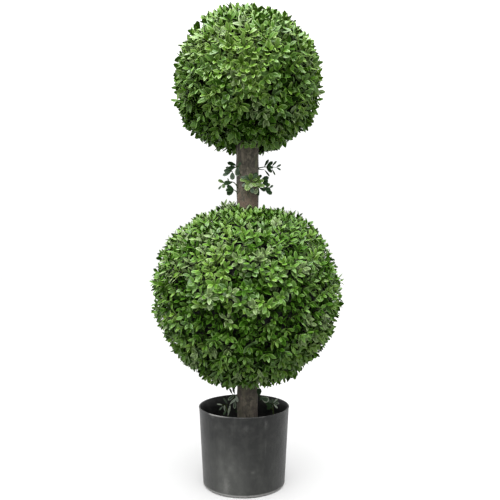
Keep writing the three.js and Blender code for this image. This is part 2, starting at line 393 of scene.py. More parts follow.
class TwigHeap:
    def __init__(self):
        self.corners = []
        self.faces = []
        self.kinds = []

    # a closed tube of few sides through a line of points
    def add(self, points, radii, kind=0, sides=3):
        start = len(self.corners)
        last = len(points) - 1
        side = squareTo((points[1] - points[0]).normalized(), 0)
        for i, point in enumerate(points):
            along = (points[min(i + 1, last)] - points[max(i - 1, 0)]).normalized()
            side = (side - along * side.dot(along)).normalized()
            other = along.cross(side)
            for j in range(sides):
                angle = 2 * math.pi * j / sides
                offset = side * (radii[i] * math.cos(angle)) + other * (radii[i] * math.sin(angle))
                self.corners.append(tuple(point + offset))
        rings = [[start + i * sides + j for j in range(sides)] for i in range(len(points))]
        for lower, upper in zip(rings, rings[1:]):
            for j in range(sides):
                k = (j + 1) % sides
                self.faces.append((lower[j], lower[k], upper[k], upper[j]))
        self.faces.append(tuple(reversed(rings[0])))
        self.faces.append(tuple(rings[-1]))
        self.kinds += [kind] * (last * sides + 2)


def twigPiece(name, heap):
    piece = meshFromArrays(name, heap.corners, heap.faces, heap.kinds)
    setMaterial(piece, *twigMaterials)
    return piece


def tapered(thick, thin, steps):
    return [thick + (thin - thick) * i / steps for i in range(steps + 1)]


# a line bent softly through start, bend and end
def softBend(start, bend, end, steps):
    points = []
    for i in range(steps + 1):
        t = i / steps
        points.append(start * (1 - t) ** 2 + bend * (2 * t * (1 - t)) + end * t ** 2)
    return points


# the point of a line that lies some way back from its tip, and how the line runs there
def backFromTip(points, distance):
    for i in range(len(points) - 1, 0, -1):
        stretch = points[i] - points[i - 1]
        if distance <= stretch.length or i == 1:
            along = stretch.normalized()
            return points[i] - along * distance, along
        distance -= stretch.length


# the two clipped balls

balls = {
    "lower_ball": {
        "height": 0.36, "reach": 0.186, "squash": 0.966, "square": 0.012, "lopside": 0.03,
        "core": 0.148, "shoots": 1380, "seed": 11, "dimple": 0.009,
        # shares of sprays given painted shade at the sides, painted light, painted shade below and the pale
        # tint as painted highlight
        "shady": 0.44, "sunny": 0.2, "dusky": 0.34, "paintedHighlightShare": 0.09,
        "leafSize": 0.99, "leafWidth": 0.46, "paintedLightBesideTrunk": 1.0, "hollows": 0.17,
        "strays": [
            (99, 0.008, -0.08), (102, 0.008, -0.1), (101, 0.0075, -0.17), (104, 0.0072, -0.12),
            (104, 0.0072, -0.2), (99, 0.0085, 0.12), (106, 0.0072, -0.05), (101, 0.0072, -0.24),
            (58, 0.0065, -0.02), (62, 0.0065, 0.03), (68, 0.006, 0.0), (139, 0.006, 0.02),
            (143, 0.004, -0.03), (9, 0.003, 0.0), (190, 0.008, 0.02), (172, 0.004, 0.0), (200, 0.005, 0.0),
            (240, 0.004, 0.0), (249, 0.01, 0.03), (257, 0.008, -0.02), (289, 0.008, 0.0),
            (300, 0.007, 0.02)],
        "cuts": [(30, 0.005), (190, -0.004), (250, -0.005), (310, 0.0035)],
        "zones": [
            (-0.68, 0.15, 0.28, -1.0), (-0.38, -0.14, 0.28, -1.0), (0.05, -0.42, 0.3, -0.4),
            (0.4, -0.2, 0.24, -0.7), (0.6, 0.02, 0.34, -0.6), (0.12, 0.16, 0.18, -0.5),
            (0.12, 0.74, 0.18, -0.3), (0.84, 0.46, 0.16, -0.6), (-0.36, 0.37, 0.42, 1.1),
            (-0.14, -0.02, 0.16, 0.9), (-0.66, -0.55, 0.34, 0.8), (0.62, -0.62, 0.38, 1.4),
            (-0.7, 0.62, 0.32, 1.0), (-0.62, -0.12, 0.2, -0.7), (0.12, -0.24, 0.2, -0.6),
            (0.74, 0.2, 0.2, -0.5), (0.88, -0.28, 0.22, 0.9), (0.0, 0.94, 0.36, 0.7)]},
    "upper_ball": {
        "height": 0.775, "reach": 0.1456, "squash": 0.966, "square": 0.03, "lopside": -0.0175,
        "core": 0.11, "shoots": 860, "seed": 29, "dimple": 0.0,
        "shady": 0.0, "sunny": 0.72, "dusky": 0.6, "paintedHighlightShare": 0.0,
        "leafSize": 1.24, "leafWidth": 0.47, "paintedLightBesideTrunk": 0.0, "hollows": 0.1,
        "strays": [
            (88, 0.009, 0.0), (120, 0.004, 0.0), (58, 0.003, 0.02), (111, 0.003, 0.02), (30, 0.004, 0.0)],
        "cuts": [(40, 0.0055), (78, 0.008), (124, -0.004), (147, 0.0065), (180, 0.004), (310, 0.005)],
        "zones": [
            (-0.38, 0.42, 0.5, 1.0), (-0.06, 0.04, 0.56, 1.2), (-0.06, -0.42, 0.38, 1.0),
            (-0.62, 0.2, 0.3, 0.5), (0.56, -0.24, 0.3, -0.9), (0.6, 0.24, 0.2, -0.7),
            (-0.02, -0.7, 0.26, -0.9), (-0.34, 0.09, 0.13, -1.3), (-0.8, 0.4, 0.3, 1.0),
            (0.84, 0.22, 0.3, 0.9), (0.0, 0.88, 0.4, 0.8), (0.62, 0.68, 0.3, 0.9)]},
}

shoot = {
    "jitter": 0.9, "forkEvery": 3, "sunk": 0.007, "forkRise": 0.007, "lastStretch": 0.024, "steps": 4,
    "short": 0.0105,         # from the reach back to the tip bud
    "ragged": 0.006,
    "hollowDepth": 0.0185, "hollowCloseness": (5.0, 11.0), "hollowWeights": (0.55, 0.8), "hollowEdge": 0.18,
    "lightFill": 2, "darkHollow": 1.6,       # how far a light zone fills hollows, and a dark one is hollow
    "cutReach": 12, "dimpleReach": 0.055,
    "collar": 16, "collarGap": 0.003, "collarRaise": 0.018, "collarTurn": 0.6, "collarOut": 0.35,
    "lean": 0.65, "lift": 0.24,
    "footRadius": 0.0011, "tipRadius": 0.0006, "oliveShare": 0.6,
    "besideTrunk": 0.0068, "leafBesideTrunk": 0.0015,
}

# each pair of leaves: distance back from the tip, opening angle, length
ballPairs = [
    (0.0000, 0.58, 0.0124),
    (0.0042, 0.86, 0.0156),
    (0.0092, 1.06, 0.0172),
    (0.015, 1.2, 0.0174),
    (0.0212, 1.32, 0.0168),
]

leafLook = {"width": 0.48, "fold": 0.24, "sag": 0.13, "turnRange": 0.5, "rollRange": 0.5, "splayRange": 0.36,
            "lengths": (0.86, 0.28), "widths": (0.85, 0.3), "folds": (0.3, 1.4), "sags": (-0.5, 2.2),
            "droop": 0.22, "erect": 0.5, "darkBack": 0.009, "underBack": 0.015, "opened": 0.013}

# plain colours dealt out by spray: blade, margin and share; the paler margins are partly the leaves' own
# and partly painted highlight where the rims catch the light, and the pale tint is partly painted sheen
sprayTints = {
    "deep": ((0.014, 0.044, 0.002), (0.032, 0.078, 0.007), 0.17),
    "mid": ((0.033, 0.087, 0.004), (0.064, 0.123, 0.019), 0.34),
    "blue": ((0.03, 0.074, 0.01), (0.066, 0.118, 0.034), 0.16),
    "grass": ((0.039, 0.101, 0.004), (0.073, 0.14, 0.019), 0.18),
    "lime": ((0.05, 0.111, 0.006), (0.096, 0.158, 0.028), 0.07),
    "pale": ((0.06, 0.102, 0.025), (0.12, 0.166, 0.066), 0.08),
}
tintOrder = list(sprayTints)
lighterTint = {"under": "deep", "deep": "mid", "mid": "grass", "blue": "mid", "grass": "lime",
               "lime": "lime", "pale": "pale"}
darkerTint = {"under": "under", "deep": "under", "mid": "deep", "blue": "deep", "grass": "mid",
              "lime": "grass", "pale": "blue"}
# the darkest tint: painted shade for leaves deep in a spray and in hollows
underTint = {"under": ((0.005, 0.016, 0.001), (0.012, 0.032, 0.002))}

# where on a ball a spray gets a lighter tint as painted light, or a darker one as painted shade
tintPlaces = {"light": 0.7, "besideTrunk": 0.85, "tuftHeight": 0.9, "tuftRise": 0.007,
              "hollow": 0.5, "hollowShare": 0.6, "deepHollow": 0.8}

# the loose sprigs are duller than the balls: their dark tints, shade and dusk, are painted shade
# for the balls' shadow they grow in
sprigTints = {
    "shade": ((0.01, 0.022, 0.008), (0.016, 0.034, 0.012)),
    "dusk": ((0.015, 0.034, 0.012), (0.028, 0.052, 0.022)),
    "slate": ((0.027, 0.048, 0.025), (0.056, 0.084, 0.05)),
    "straw": ((0.11, 0.15, 0.07), (0.17, 0.21, 0.11)),
    "moss": ((0.03, 0.062, 0.007), (0.07, 0.115, 0.02)),
    "fresh": ((0.052, 0.106, 0.012), (0.128, 0.19, 0.055)),
    "ash": ((0.16, 0.19, 0.145), (0.2, 0.23, 0.18)),
    "rimmed": ((0.018, 0.036, 0.016), (0.15, 0.18, 0.13)),
}

# the leaves at the back of a spray are matt
leafGloss = {"Blade": 0.42, "Margin": 0.48, "specular": 0.27, "shaded": 0.03,
             "matt": ("deep", "under", "shade")}


def leafMaterials(tint, blade, margin):
    specular = leafGloss["shaded" if tint in leafGloss["matt"] else "specular"]
    return [newMaterial("leaf" + part + "_" + tint, colour, leafGloss[part], specular)
            for part, colour in (("Blade", blade), ("Margin", margin))]


allTints = {**sprayTints, **underTint, **sprigTints}
leafTints = {tint: leafMaterials(tint, *colours[:2]) for tint, colours in allTints.items()}
twigMaterials = [
    newMaterial("twigOlive", (0.022, 0.034, 0.007), 0.7, 0.1),
    newMaterial("twigBrown", (0.03, 0.024, 0.022), 0.8, 0.1),
]


def dealTint(draw):
    pick = draw()
    for tint in tintOrder:
        pick -= sprayTints[tint][2]
        if pick < 0:
            return tint
    return "mid"


# a ball is clipped a little squarer than round, and fuller above or below its middle: both swells
# are scaled to peak at 1
def inBall(ball, direction, radius):
    level = direction.z ** 2
    squarer = ball["square"] * 4 * level * (1 - level)
    fuller = ball["lopside"] * 2.6 * direction.z * (1 - level)
    radius *= 1 + squarer + fuller
    place = Vector((direction.x, direction.y, direction.z * ball["squash"])) * radius
    return place + Vector((trunk["x"], 0, ball["height"]))


# the shears cut deeper at some angles, as seen from the front, and left a little more at others
def cutDepth(ball, direction):
    angle = math.degrees(math.atan2(direction.z, direction.x))
    depth = 0.0
    for cutAngle, cut in ball["cuts"]:
        apart = abs((angle - cutAngle + 180) % 360 - 180)
        depth += cut * max(0.0, 1 - apart / shoot["cutReach"])
    return depth * (1 - direction.y ** 2)


# how much painted light or shade a place on a ball gets, which also fills or deepens its hollows:
# each zone has its place as seen from the front, its reach and its strength
def zoneShift(ball, direction):
    shift = 0.0
    for across, high, reach, strength in ball["zones"]:
        middle = Vector((across, -math.sqrt(1 - across ** 2 - high ** 2), high))
        shift += strength * max(0.0, 1 - direction.angle(middle) / reach)
    return max(-1.0, min(1.0, shift))


# opposite pairs of leaves down a line of points, each pair a quarter turn from the last
def leafPairs(heap, points, pairs, tint, draw, fits, look=leafLook, youngPairs=1, size=1.0):
    quarter = 2 * math.pi * draw()
    for k, (back, splay, full) in enumerate(pairs):
        node, along = backFromTip(points, back)
        side = squareTo(along, quarter + k * math.pi / 2)
        for turned in (0, math.pi):
            turn = turned + look["turnRange"] * (draw() - 0.5)
            outward = Quaternion(along, turn) @ side
            opened = splay + look["splayRange"] * (draw() - 0.5)
            rib = (along * math.cos(opened) + outward * math.sin(opened) - up * look["droop"]).normalized()
            across = Quaternion(rib, look["rollRange"] * (draw() - 0.5)) @ along.cross(outward)
            across = (across - rib * across.dot(rib)).normalized()
            length = full * size * varied(look["lengths"], draw)
            width = length * look["width"] * varied(look["widths"], draw)
            fold = look["fold"] * varied(look["folds"], draw)
            sag = look["sag"] * varied(look["sags"], draw)
            ownTint = lighterTint.get(tint, tint) if k < youngPairs else tint
            # painted shade: leaves far back in a spray get a darker tint, the furthest of them the under
            # tint
            if back > look["darkBack"]:
                ownTint = "under" if back > look["underBack"] else darkerTint.get(tint, "shade")
            if fits(node + rib * length):
                heap.add(node, rib, across, length, width, fold, sag, ownTint)


# how deep in a hollow between the sprays a place lies, from 0 to 1
def hollowShare(ball, wide, close, zone):
    wideWeight, closeWeight = shoot["hollowWeights"]
    hollow = (-wideWeight * wide - closeWeight * close - ball["hollows"]) / shoot["hollowEdge"]
    hollow -= max(0.0, shoot["lightFill"] * zone)
    return min(1.0, max(0.0, hollow, -shoot["darkHollow"] * zone))


# the way of each shoot and how far it stands out: an even spiral, a collar that hangs round the trunk
# under the ball, and the strays
def shootWays(ball, draw):
    jitter = shoot["jitter"] / math.sqrt(ball["shoots"])
    ways = [((d + Vector((draw() - 0.5, draw() - 0.5, draw() - 0.5)) * 2 * jitter).normalized(), 0.0)
            for d in spiral(ball["shoots"])]
    low = (trunk["topRadius"] + shoot["besideTrunk"] + shoot["collarGap"]) / ball["reach"]
    for i in range(shoot["collar"]):
        turn = 2 * math.pi * (i + shoot["collarTurn"] * draw()) / shoot["collar"]
        out = low * (1 + shoot["collarOut"] * draw())
        hanging = Vector((out * math.cos(turn), out * math.sin(turn), -math.sqrt(1 - out * out)))
        ways.append((hanging, -shoot["collarRaise"]))
    for angle, extra, back in ball["strays"]:
        turn = math.radians(angle)
        ways.append((Vector((math.cos(turn), back, math.sin(turn))).normalized(), extra))
    return ways


# painted light and shade: a spray's tint is darker at the sides and below as painted shade, lighter for a
# share of sprays as painted sunlight, pale for some as painted highlight, and lighter or darker by its zone
def placedTint(ball, direction, zone, stray, draw):
    tint = dealTint(draw)
    if draw() < ball["shady"] * direction.x ** 2:
        tint = darkerTint[tint]
    if draw() < ball["dusky"] * -direction.z:
        tint = darkerTint[tint]
    sun = draw()
    if sun < ball["sunny"]:
        tint = "pale" if sun < ball["paintedHighlightShare"] else lighterTint[tint]
    if draw() < abs(zone) or stray:
        tint = darkerTint[tint] if zone < 0 else lighterTint[tint]
    return lighterTint[tint] if zone > tintPlaces["light"] else tint


# leaves stand up on the top of a ball, where fewer of them get the painted shade of a spray's back,
# so more look lit, and hang a little elsewhere
def placedLook(ball, direction):
    opened = leafLook["opened"] * min(1.0, max(0.0, 0.5 + 0.9 * direction.z))
    return {**leafLook, "width": ball["leafWidth"],
            "droop": leafLook["droop"] - leafLook["erect"] * max(0.0, direction.z),
            "darkBack": leafLook["darkBack"] + opened,
            "underBack": leafLook["underBack"] + opened}


def growBall(name, ball):
    draw = sequence(ball["seed"])
    young, grown, twigs = LeafHeap(), LeafHeap(), TwigHeap()
    beside, steps = shoot["besideTrunk"], shoot["steps"]
    radii = tapered(shoot["footRadius"], shoot["tipRadius"], steps)
    ways = shootWays(ball, draw)
    stems = [direction for direction, extra in ways[::shoot["forkEvery"]]
             if clearOfTrunk(inBall(ball, direction, ball["core"]), beside)]
    stemTable = np.array([tuple(stem) for stem in stems])

    def fits(tip):
        return clearOfTrunk(tip, shoot["leafBesideTrunk"])

    for i, (direction, extra) in enumerate(ways):
        stem = stems[int(np.argmax(stemTable @ np.array(direction)))]
        wide, close = (noise.noise(direction * closeness + Vector((ball["seed"], 0, 0)))
                       for closeness in shoot["hollowCloseness"])
        zone = zoneShift(ball, direction)
        dip = hollowShare(ball, wide, close, zone)
        radius = ball["reach"] - shoot["short"] - shoot["ragged"] * draw()
        nearTrunk = math.hypot(direction.x, direction.y) * ball["reach"] / shoot["dimpleReach"]
        if extra:
            radius += extra
        else:
            radius -= shoot["hollowDepth"] * dip + cutDepth(ball, direction)
            if direction.z > 0 and nearTrunk < 1:
                radius -= ball["dimple"] * (1 - nearTrunk ** 2)
        end = inBall(ball, direction, radius)
        lean = squareTo(direction, 2 * math.pi * draw()) * (shoot["lean"] * draw())
        growing = (direction + lean + up * shoot["lift"]).normalized()
        footRise = -shoot["sunk"] if stem is direction else shoot["forkRise"]
        foot = inBall(ball, stem, ball["core"] + footRise)
        points = softBend(foot, end - growing * shoot["lastStretch"], end, steps)
        tint = placedTint(ball, direction, zone, extra > 0, draw)
        # tufts, and half of the leaves that stand up against the trunk, get pale tints:
        # painted light where the upper ball's shadow falls
        besideTrunk = direction.z > 0 and nearTrunk < tintPlaces["besideTrunk"]
        tuft = direction.z > tintPlaces["tuftHeight"] and extra > tintPlaces["tuftRise"]
        if tuft or besideTrunk and close < ball["paintedLightBesideTrunk"] - 1:
            tint = "pale" if i % 2 else "straw"
        # painted shade: sprays deep in a hollow get the deep or under tint
        if dip > tintPlaces["hollow"] and draw() < tintPlaces["hollowShare"]:
            tint = "under" if dip > tintPlaces["deepHollow"] else "deep"
        if not clearOfTrunk(end, beside):
            continue
        kind = 0 if draw() < shoot["oliveShare"] else 1
        twigs.add(points, radii, kind)
        size = ball["leafSize"] * varied(leafLook["lengths"], draw)
        look = placedLook(ball, direction)
        leafPairs(young, points, ballPairs[:2], tint, draw, fits, look, size=size)
        leafPairs(grown, points, ballPairs[2:], tint, draw, fits, look, youngPairs=0, size=size)
    for piece in (leafPiece(name + "_young_leaves", young),
                  leafPiece(name + "_grown_leaves", grown),
                  twigPiece(name + "_twigs", twigs)):
        hand(piece, "foliage", name)


# the dark core behind the leaves, near black as painted shade in the gaps, drilled out for the trunk
coreLook = {"dark": (0.004, 0.005, 0.004), "pale": (0.018, 0.019, 0.018), "reliefScale": 0.012,
            "relief": 0.008, "trunkGap": 0.0012, "holeLength": 0.9, "holeMiddle": 0.4, "holeTopGap": 0.001}


def coreFinish():
    shadow = newMaterial("coreShadow", (0.018, 0.02, 0.012), 0.9, 0.05)
    sheet = NodeSheet(shadow)
    tufts = sheet.cloud(160.0, 4.0, 0.6)
    sheet.dress({
        "Base Color": sheet.coated(coreLook, "dark", (sheet.step(tufts, 0.35, 0.7), "pale")),
        "Normal": sheet.bump(tufts, 0.003)})
    return shadow


coreShadow = coreFinish()


def makeCore(name, ball):
    core = newPiece(name + "_core", bpy.ops.mesh.primitive_ico_sphere_add,
                    subdivisions=5, radius=ball["core"], location=(0, 0, 0))
    reshape(core, (1, 1, ball["squash"]), (trunk["x"], 0, ball["height"]))
    addRelief(core, name + "Tufts", "CLOUDS", coreLook["reliefScale"], coreLook["relief"])
    # the hole goes through the lower core and ends over the trunk's top in the upper one
    length, middle = coreLook["holeLength"], coreLook["holeMiddle"]
    if name == "upper_ball":
        middle = trunk["top"] + coreLook["holeTopGap"] - length / 2
    drill(core, trunk["topRadius"] + coreLook["trunkGap"], length, (trunk["x"], 0, middle), 48)
    smoothByAngle(core, 60)
    setMaterial(core, coreShadow)
    hand(core, "foliage", name)


for ballName, ballSizes in balls.items():
    growBall(ballName, ballSizes)
    makeCore(ballName, ballSizes)
print("balls grown")


# loose sprigs on the trunk and in the pot, in millimetres: each stem bends from its foot to its tip,
# and each leaf, under its tint, has the place of its foot across and up, the way it points as seen
# from the front, its length, its width in hundredths of that and its lean to the front
looseSprigs = {
    "sprig_left_high": {
        "stems": [((-10, -14, 609), (-19, -14, 607), (-30, -13, 597))],
        "leaves": {
            "shade": [(-14, 610, 160, 19, 50, 5), (-16, 608, 190, 14, 55, 10), (-9, 602, -65, 14, 50, 25)],
            "dusk": [(-21, 602, 160, 15, 50, 10), (-22, 599, 175, 17, 55, 15), (-11, 607, 60, 11, 60, 30)],
            "slate": [(-25, 598, 205, 18, 45, 20), (-22, 598, 270, 16, 65, 15)],
            "rimmed": [(-12, 609, 270, 20, 60, 10)]}},
    "sprig_left_low": {
        "stems": [((-12, -12, 567), (-18, -12, 586), (-38, -12, 576)),
                  ((-12, -12, 557), (-16, -12, 563), (-20, -12, 564))],
        "leaves": {
            "shade": [(-22, 578, 185, 17, 65, 10), (-19, 564, 150, 16, 60, 15), (-19, 564, 185, 17, 60, 25),
                (-19, 564, 215, 17, 65, 15)],
            "slate": [(-28, 579, 115, 8, 35, 10)],
            "moss": [(-37, 577, 155, 14, 55, 15), (-37, 577, 255, 11, 60, 20)],
            "dusk": [(-42, 573, 230, 11, 40, 10)]}},
    "sprig_front": {
        "stems": [((14, -19, 587), (12, -29, 583), (14, -31, 574))],
        "leaves": {
            "slate": [(6, 582, 155, 13, 55, 5), (8, 574, 200, 13, 50, 10), (14, 568, -75, 13, 60, 10)],
            "dusk": [(11, 579, 128, 14, 60, 15), (19, 579, 72, 14, 60, 20)],
            "moss": [(13, 576, 222, 15, 60, 15), (17, 574, -12, 14, 60, 20), (13, 580, 90, 14, 65, 30),
                (12, 578, 195, 12, 55, 35), (15, 579, 15, 13, 55, 35)],
            "fresh": [(8, 581, 180, 16, 50, 15), (12, 577, 245, 20, 60, 25), (15, 576, -45, 13, 60, 30)],
            "shade": [(16, 583, 50, 15, 60, 15)],
            "straw": [(14, 576, 270, 13, 50, 40)]}},
    "sprig_right_low": {
        "stems": [((21, -17, 577), (33, -17, 567), (50, -13, 568))],
        "leaves": {
            "fresh": [(22, 576, 20, 18, 50, 20), (23, 575, -18, 19, 50, 25)],
            "moss": [(23, 577, 60, 14, 55, 20), (24, 574, -50, 12, 50, 35), (42, 568, 45, 11, 60, 20)],
            "straw": [(26, 568, 250, 16, 50, 30)],
            "shade": [(28, 568, 268, 17, 28, 0), (32, 581, 25, 17, 60, 5), (30, 586, 65, 7, 80, 0),
                (36, 573, 50, 14, 65, 10), (33, 574, 5, 15, 60, 5), (37, 567, -15, 15, 60, 5),
                (29, 568, -30, 14, 50, 10), (40, 565, -35, 17, 62, 10)],
            "dusk": [(49, 567, 40, 9, 55, 10)]}},
    "sprig_right_high": {
        "stems": [((25, -3, 606), (40, -3, 611), (62, -5, 608)),
                  ((26, -2, 606), (32, -3, 603), (39, -3, 604))],
        "leaves": {
            "shade": [(39, 609, 60, 17, 32, 5), (39, 604, -50, 17, 24, 5), (43, 608, 43, 17, 48, 10),
                (43, 608, -40, 15, 55, 10)],
            "dusk": [(44, 608, 0, 13, 55, 20), (54, 610, 50, 14, 30, 5), (54, 605, -62, 14, 26, 5)],
            "slate": [(62, 608, 30, 11, 42, 10), (62, 608, -30, 11, 40, 10)]}},
    "sprig_pot_left": {
        "stems": [((-31, -17, 98), (-33, -17, 150), (-17, -13, 171)),
                  ((-31, -17, 138), (-34, -18, 158), (-42, -18, 152))],
        "leaves": {
            "ash": [(-31, 130, 78, 24, 18, 15), (-28, 153, 45, 19, 24, 15), (-37, 141, 90, 12, 30, 10),
                (-16, 171, -70, 14, 40, 20), (-40, 153, 165, 12, 24, 15)],
            "rimmed": [(-18, 171, 215, 16, 36, 20), (-17, 160, 267, 15, 40, 15)],
            "shade": [(-22, 172, 115, 13, 32, 0), (-18, 172, 102, 14, 34, 0)],
            "slate": [(-31, 154, 120, 15, 22, 10), (-39, 152, 225, 12, 24, 20)],
            "dusk": [(-33, 145, 240, 13, 28, 15)]}},
    "sprig_pot_right": {
        "stems": [((55, -9, 98), (58, -8, 130), (56, -8, 153)),
                  ((56, -8, 140), (44, -10, 158), (29, -8, 167))],
        "leaves": {
            "shade": [(29, 167, 88, 16, 62, 0), (40, 158, -40, 14, 50, 15), (54, 153, 228, 14, 50, 20)],
            "slate": [(30, 158, 60, 12, 30, 10), (57, 128, 94, 22, 12, 0)],
            "rimmed": [(33, 164, -14, 16, 80, 20), (57, 152, 14, 11, 38, 15)],
            "dusk": [(54, 154, 140, 11, 50, 10), (56, 153, 98, 9, 50, 0), (57, 153, 38, 11, 35, 0)],
            "ash": [(56, 154, 47, 13, 22, 5), (57, 152, -42, 11, 32, 15)]}},
}

looseLook = {"footRadius": 0.0013, "tipRadius": 0.0006, "steps": 8, "sides": 5, "fold": 0.14, "sag": 0.1,
             "facing": (0.15, -1.0, 0.45), "halfWidths": [0.29, 0.49, 0.39]}


# a way across the picture, leant to the front
def pointing(angle, lean):
    across = heading(angle, lean)
    return Vector((across.x, -across.z, across.y))


def handSprig(name, leaves, twigs, halfWidths=leafShape["halfWidths"]):
    for piece in (leafPiece(name + "_leaves", leaves, halfWidths), twigPiece(name + "_stems", twigs)):
        hand(piece, "sprig", name)


def placeSprig(name, sprig):
    leaves, twigs = LeafHeap(), TwigHeap()
    thick, thin = looseLook["footRadius"], looseLook["tipRadius"]
    steps, sides = looseLook["steps"], looseLook["sides"]
    stemPoints = []
    for stem in sprig["stems"]:
        points = softBend(*[Vector(place) / 1000 for place in stem], steps)
        twigs.add(points, tapered(thick, thin, steps), sides=sides)
        stemPoints += points
    placed = [(tint, *row) for tint, rows in sprig["leaves"].items() for row in rows]
    for tint, x, z, angle, length, width, lean in placed:
        across, high = x / 1000, z / 1000
        start = min(stemPoints, key=lambda point: math.hypot(point.x - across, point.z - high))
        foot = Vector((across, start.y, high))
        if (foot - start).length > thick:
            twigs.add([start, foot], [thin, thin], sides=sides)
        rib = pointing(angle, lean)
        face = Vector(looseLook["facing"])
        face = (face - rib * face.dot(rib)).normalized()
        long = length / 1000
        fold, sag = looseLook["fold"], looseLook["sag"]
        leaves.add(foot, rib, face.cross(rib), long, long * width / 100, fold, sag, tint)
    handSprig(name, leaves, twigs, looseLook["halfWidths"])


for sprigName, sprigParts in looseSprigs.items():
    placeSprig(sprigName, sprigParts)

# the two sprigs behind the trunk follow the source's rule
sprigShoot = {
    "footRadius": 0.001, "forkRadius": 0.0008, "tipRadius": 0.0005, "steps": 6, "sides": 5,
    "sunk": 0.003, "arch": 0.08, "firstFork": 0.35, "forkedShare": 0.5,
    "spread": 0.009, "spreadRange": 0.12, "lean": 0.75, "besideTrunk": 0.002,
}

grownSprigs = {
    "sprig_back": {
        "foot": (0.0102, 0.0212, 0.592), "bearing": 80, "length": 0.022, "rise": 5, "forks": 3,
        "seed": 17, "tint": "dusk"},
    "sprig_pot_back": {
        "foot": (0.002, 0.036, 0.0988), "bearing": 100, "length": 0.056, "rise": 74, "forks": 3,
        "seed": 31, "tint": "shade"},
}

sprigPairs = [
    (0.0000, 0.45, 0.011),
    (0.005, 0.85, 0.0155),
    (0.011, 1.15, 0.0165),
]


def growSprig(name, sprig):
    draw = sequence(sprig["seed"])
    root = Vector(sprig["foot"])
    along = heading(sprig["bearing"], sprig["rise"])
    length = sprig["length"]
    steps, sides = sprigShoot["steps"], sprigShoot["sides"]
    leaves, twigs = LeafHeap(), TwigHeap()

    def fits(point):
        return clearOfTrunk(point, sprigShoot["besideTrunk"])

    def pointAt(share):
        arch = sprigShoot["arch"] * length * math.sin(math.pi * share)
        return root + along * (length * share) + up * arch

    stem = [root - along * sprigShoot["sunk"]] + [pointAt(i / steps) for i in range(1, steps + 1)]
    tip = sprigShoot["tipRadius"]
    twigs.add(stem, tapered(sprigShoot["footRadius"], tip, steps), sides=sides)
    leafPairs(leaves, stem, sprigPairs, sprig["tint"], draw, fits)
    for i in range(sprig["forks"]):
        start = pointAt(sprigShoot["firstFork"] + sprigShoot["forkedShare"] * i / sprig["forks"])
        sideways = squareTo(along, i * goldenAngle + sprig["seed"])
        reach = sprigShoot["spread"] + sprigShoot["spreadRange"] * length * draw()
        end = start + along * (sprigShoot["lean"] * reach) + sideways * reach
        if fits(end):
            twigs.add([start, end], [sprigShoot["forkRadius"], tip], sides=sides)
            leafPairs(leaves, [start, end], sprigPairs[:2], sprig["tint"], draw, fits)
    handSprig(name, leaves, twigs)


for sprigName, grown in grownSprigs.items():
    growSprig(sprigName, grown)
print("sprigs grown")


# trunk

def trunkRadius(z):
    share = min(1.0, max(0.0, (z - trunk["taperFrom"]) / (trunk["taperTo"] - trunk["taperFrom"])))
    return trunk["footRadius"] + (trunk["topRadius"] - trunk["footRadius"]) * share


def trunkSwell(angle, z):
    ribs = sum(weight * math.sin(turns * angle + z * 1000 / pitch + shift)
               for weight, turns, pitch, shift in trunk["ribs"])
    return 1 + trunk["swell"] * ribs


def makeTrunk():
    height = trunk["top"] - trunk["foot"]
    piece = newPiece("trunk_bark", bpy.ops.mesh.primitive_cylinder_add,
                     vertices=trunk["sides"], radius=1, depth=height,
                     location=(0, 0, trunk["foot"] + height / 2), end_fill_type="NGON")
    settle(piece)
    mesh = piece.data
    bpy.context.tool_settings.mesh_select_mode = (False, True, False)
    # only the upright edges are cut, so they alone are selected each time
    for i in range(2):
        for corner in (*mesh.vertices, *mesh.polygons):
            corner.select = False
        for edge in mesh.edges:
            first, second = (mesh.vertices[k].co for k in edge.vertices)
            edge.select = abs(first.z - second.z) > 0.001
        bpy.ops.object.mode_set(mode="EDIT")
        bpy.ops.mesh.subdivide(number_cuts=trunk["cuts"])
        bpy.ops.object.mode_set(mode="OBJECT")
    print("trunk has", len(mesh.polygons), "faces")
    for vertex in mesh.vertices:
        angle = math.atan2(vertex.co.y, vertex.co.x)
        radius = trunkRadius(vertex.co.z) * trunkSwell(angle, vertex.co.z)
        vertex.co.x, vertex.co.y = radius * math.cos(angle), radius * math.sin(angle)
    reshape(piece, (1, 1, trunk["squash"]))
    addRelief(piece, "barkGrain", "STUCCI", trunk["grainScale"], trunk["grainDepth"], {"turbulence": 4.0})
    addRelief(piece, "barkLumps", "CLOUDS", trunk["lumpScale"], trunk["lumpDepth"], {"noise_depth": 3})
    reshape(piece, (1, 1, 1 / trunk["squash"]), (trunk["x"], 0, 0))
    smoothByAngle(piece, 70)
    return piece


barkTones = {
    "furrow": (0.036, 0.034, 0.025), "ridge": (0.138, 0.121, 0.089), "moss": (0.054, 0.062, 0.028),
    "plum": (0.082, 0.056, 0.052), "wideCrack": (0.036, 0.029, 0.023), "fineCrack": (0.026, 0.021, 0.017),
    "rust": (0.074, 0.045, 0.03), "knob": (0.03, 0.027, 0.021), "shade": (0.022, 0.02, 0.014),
    "foot": (0.17, 0.155, 0.13),
}


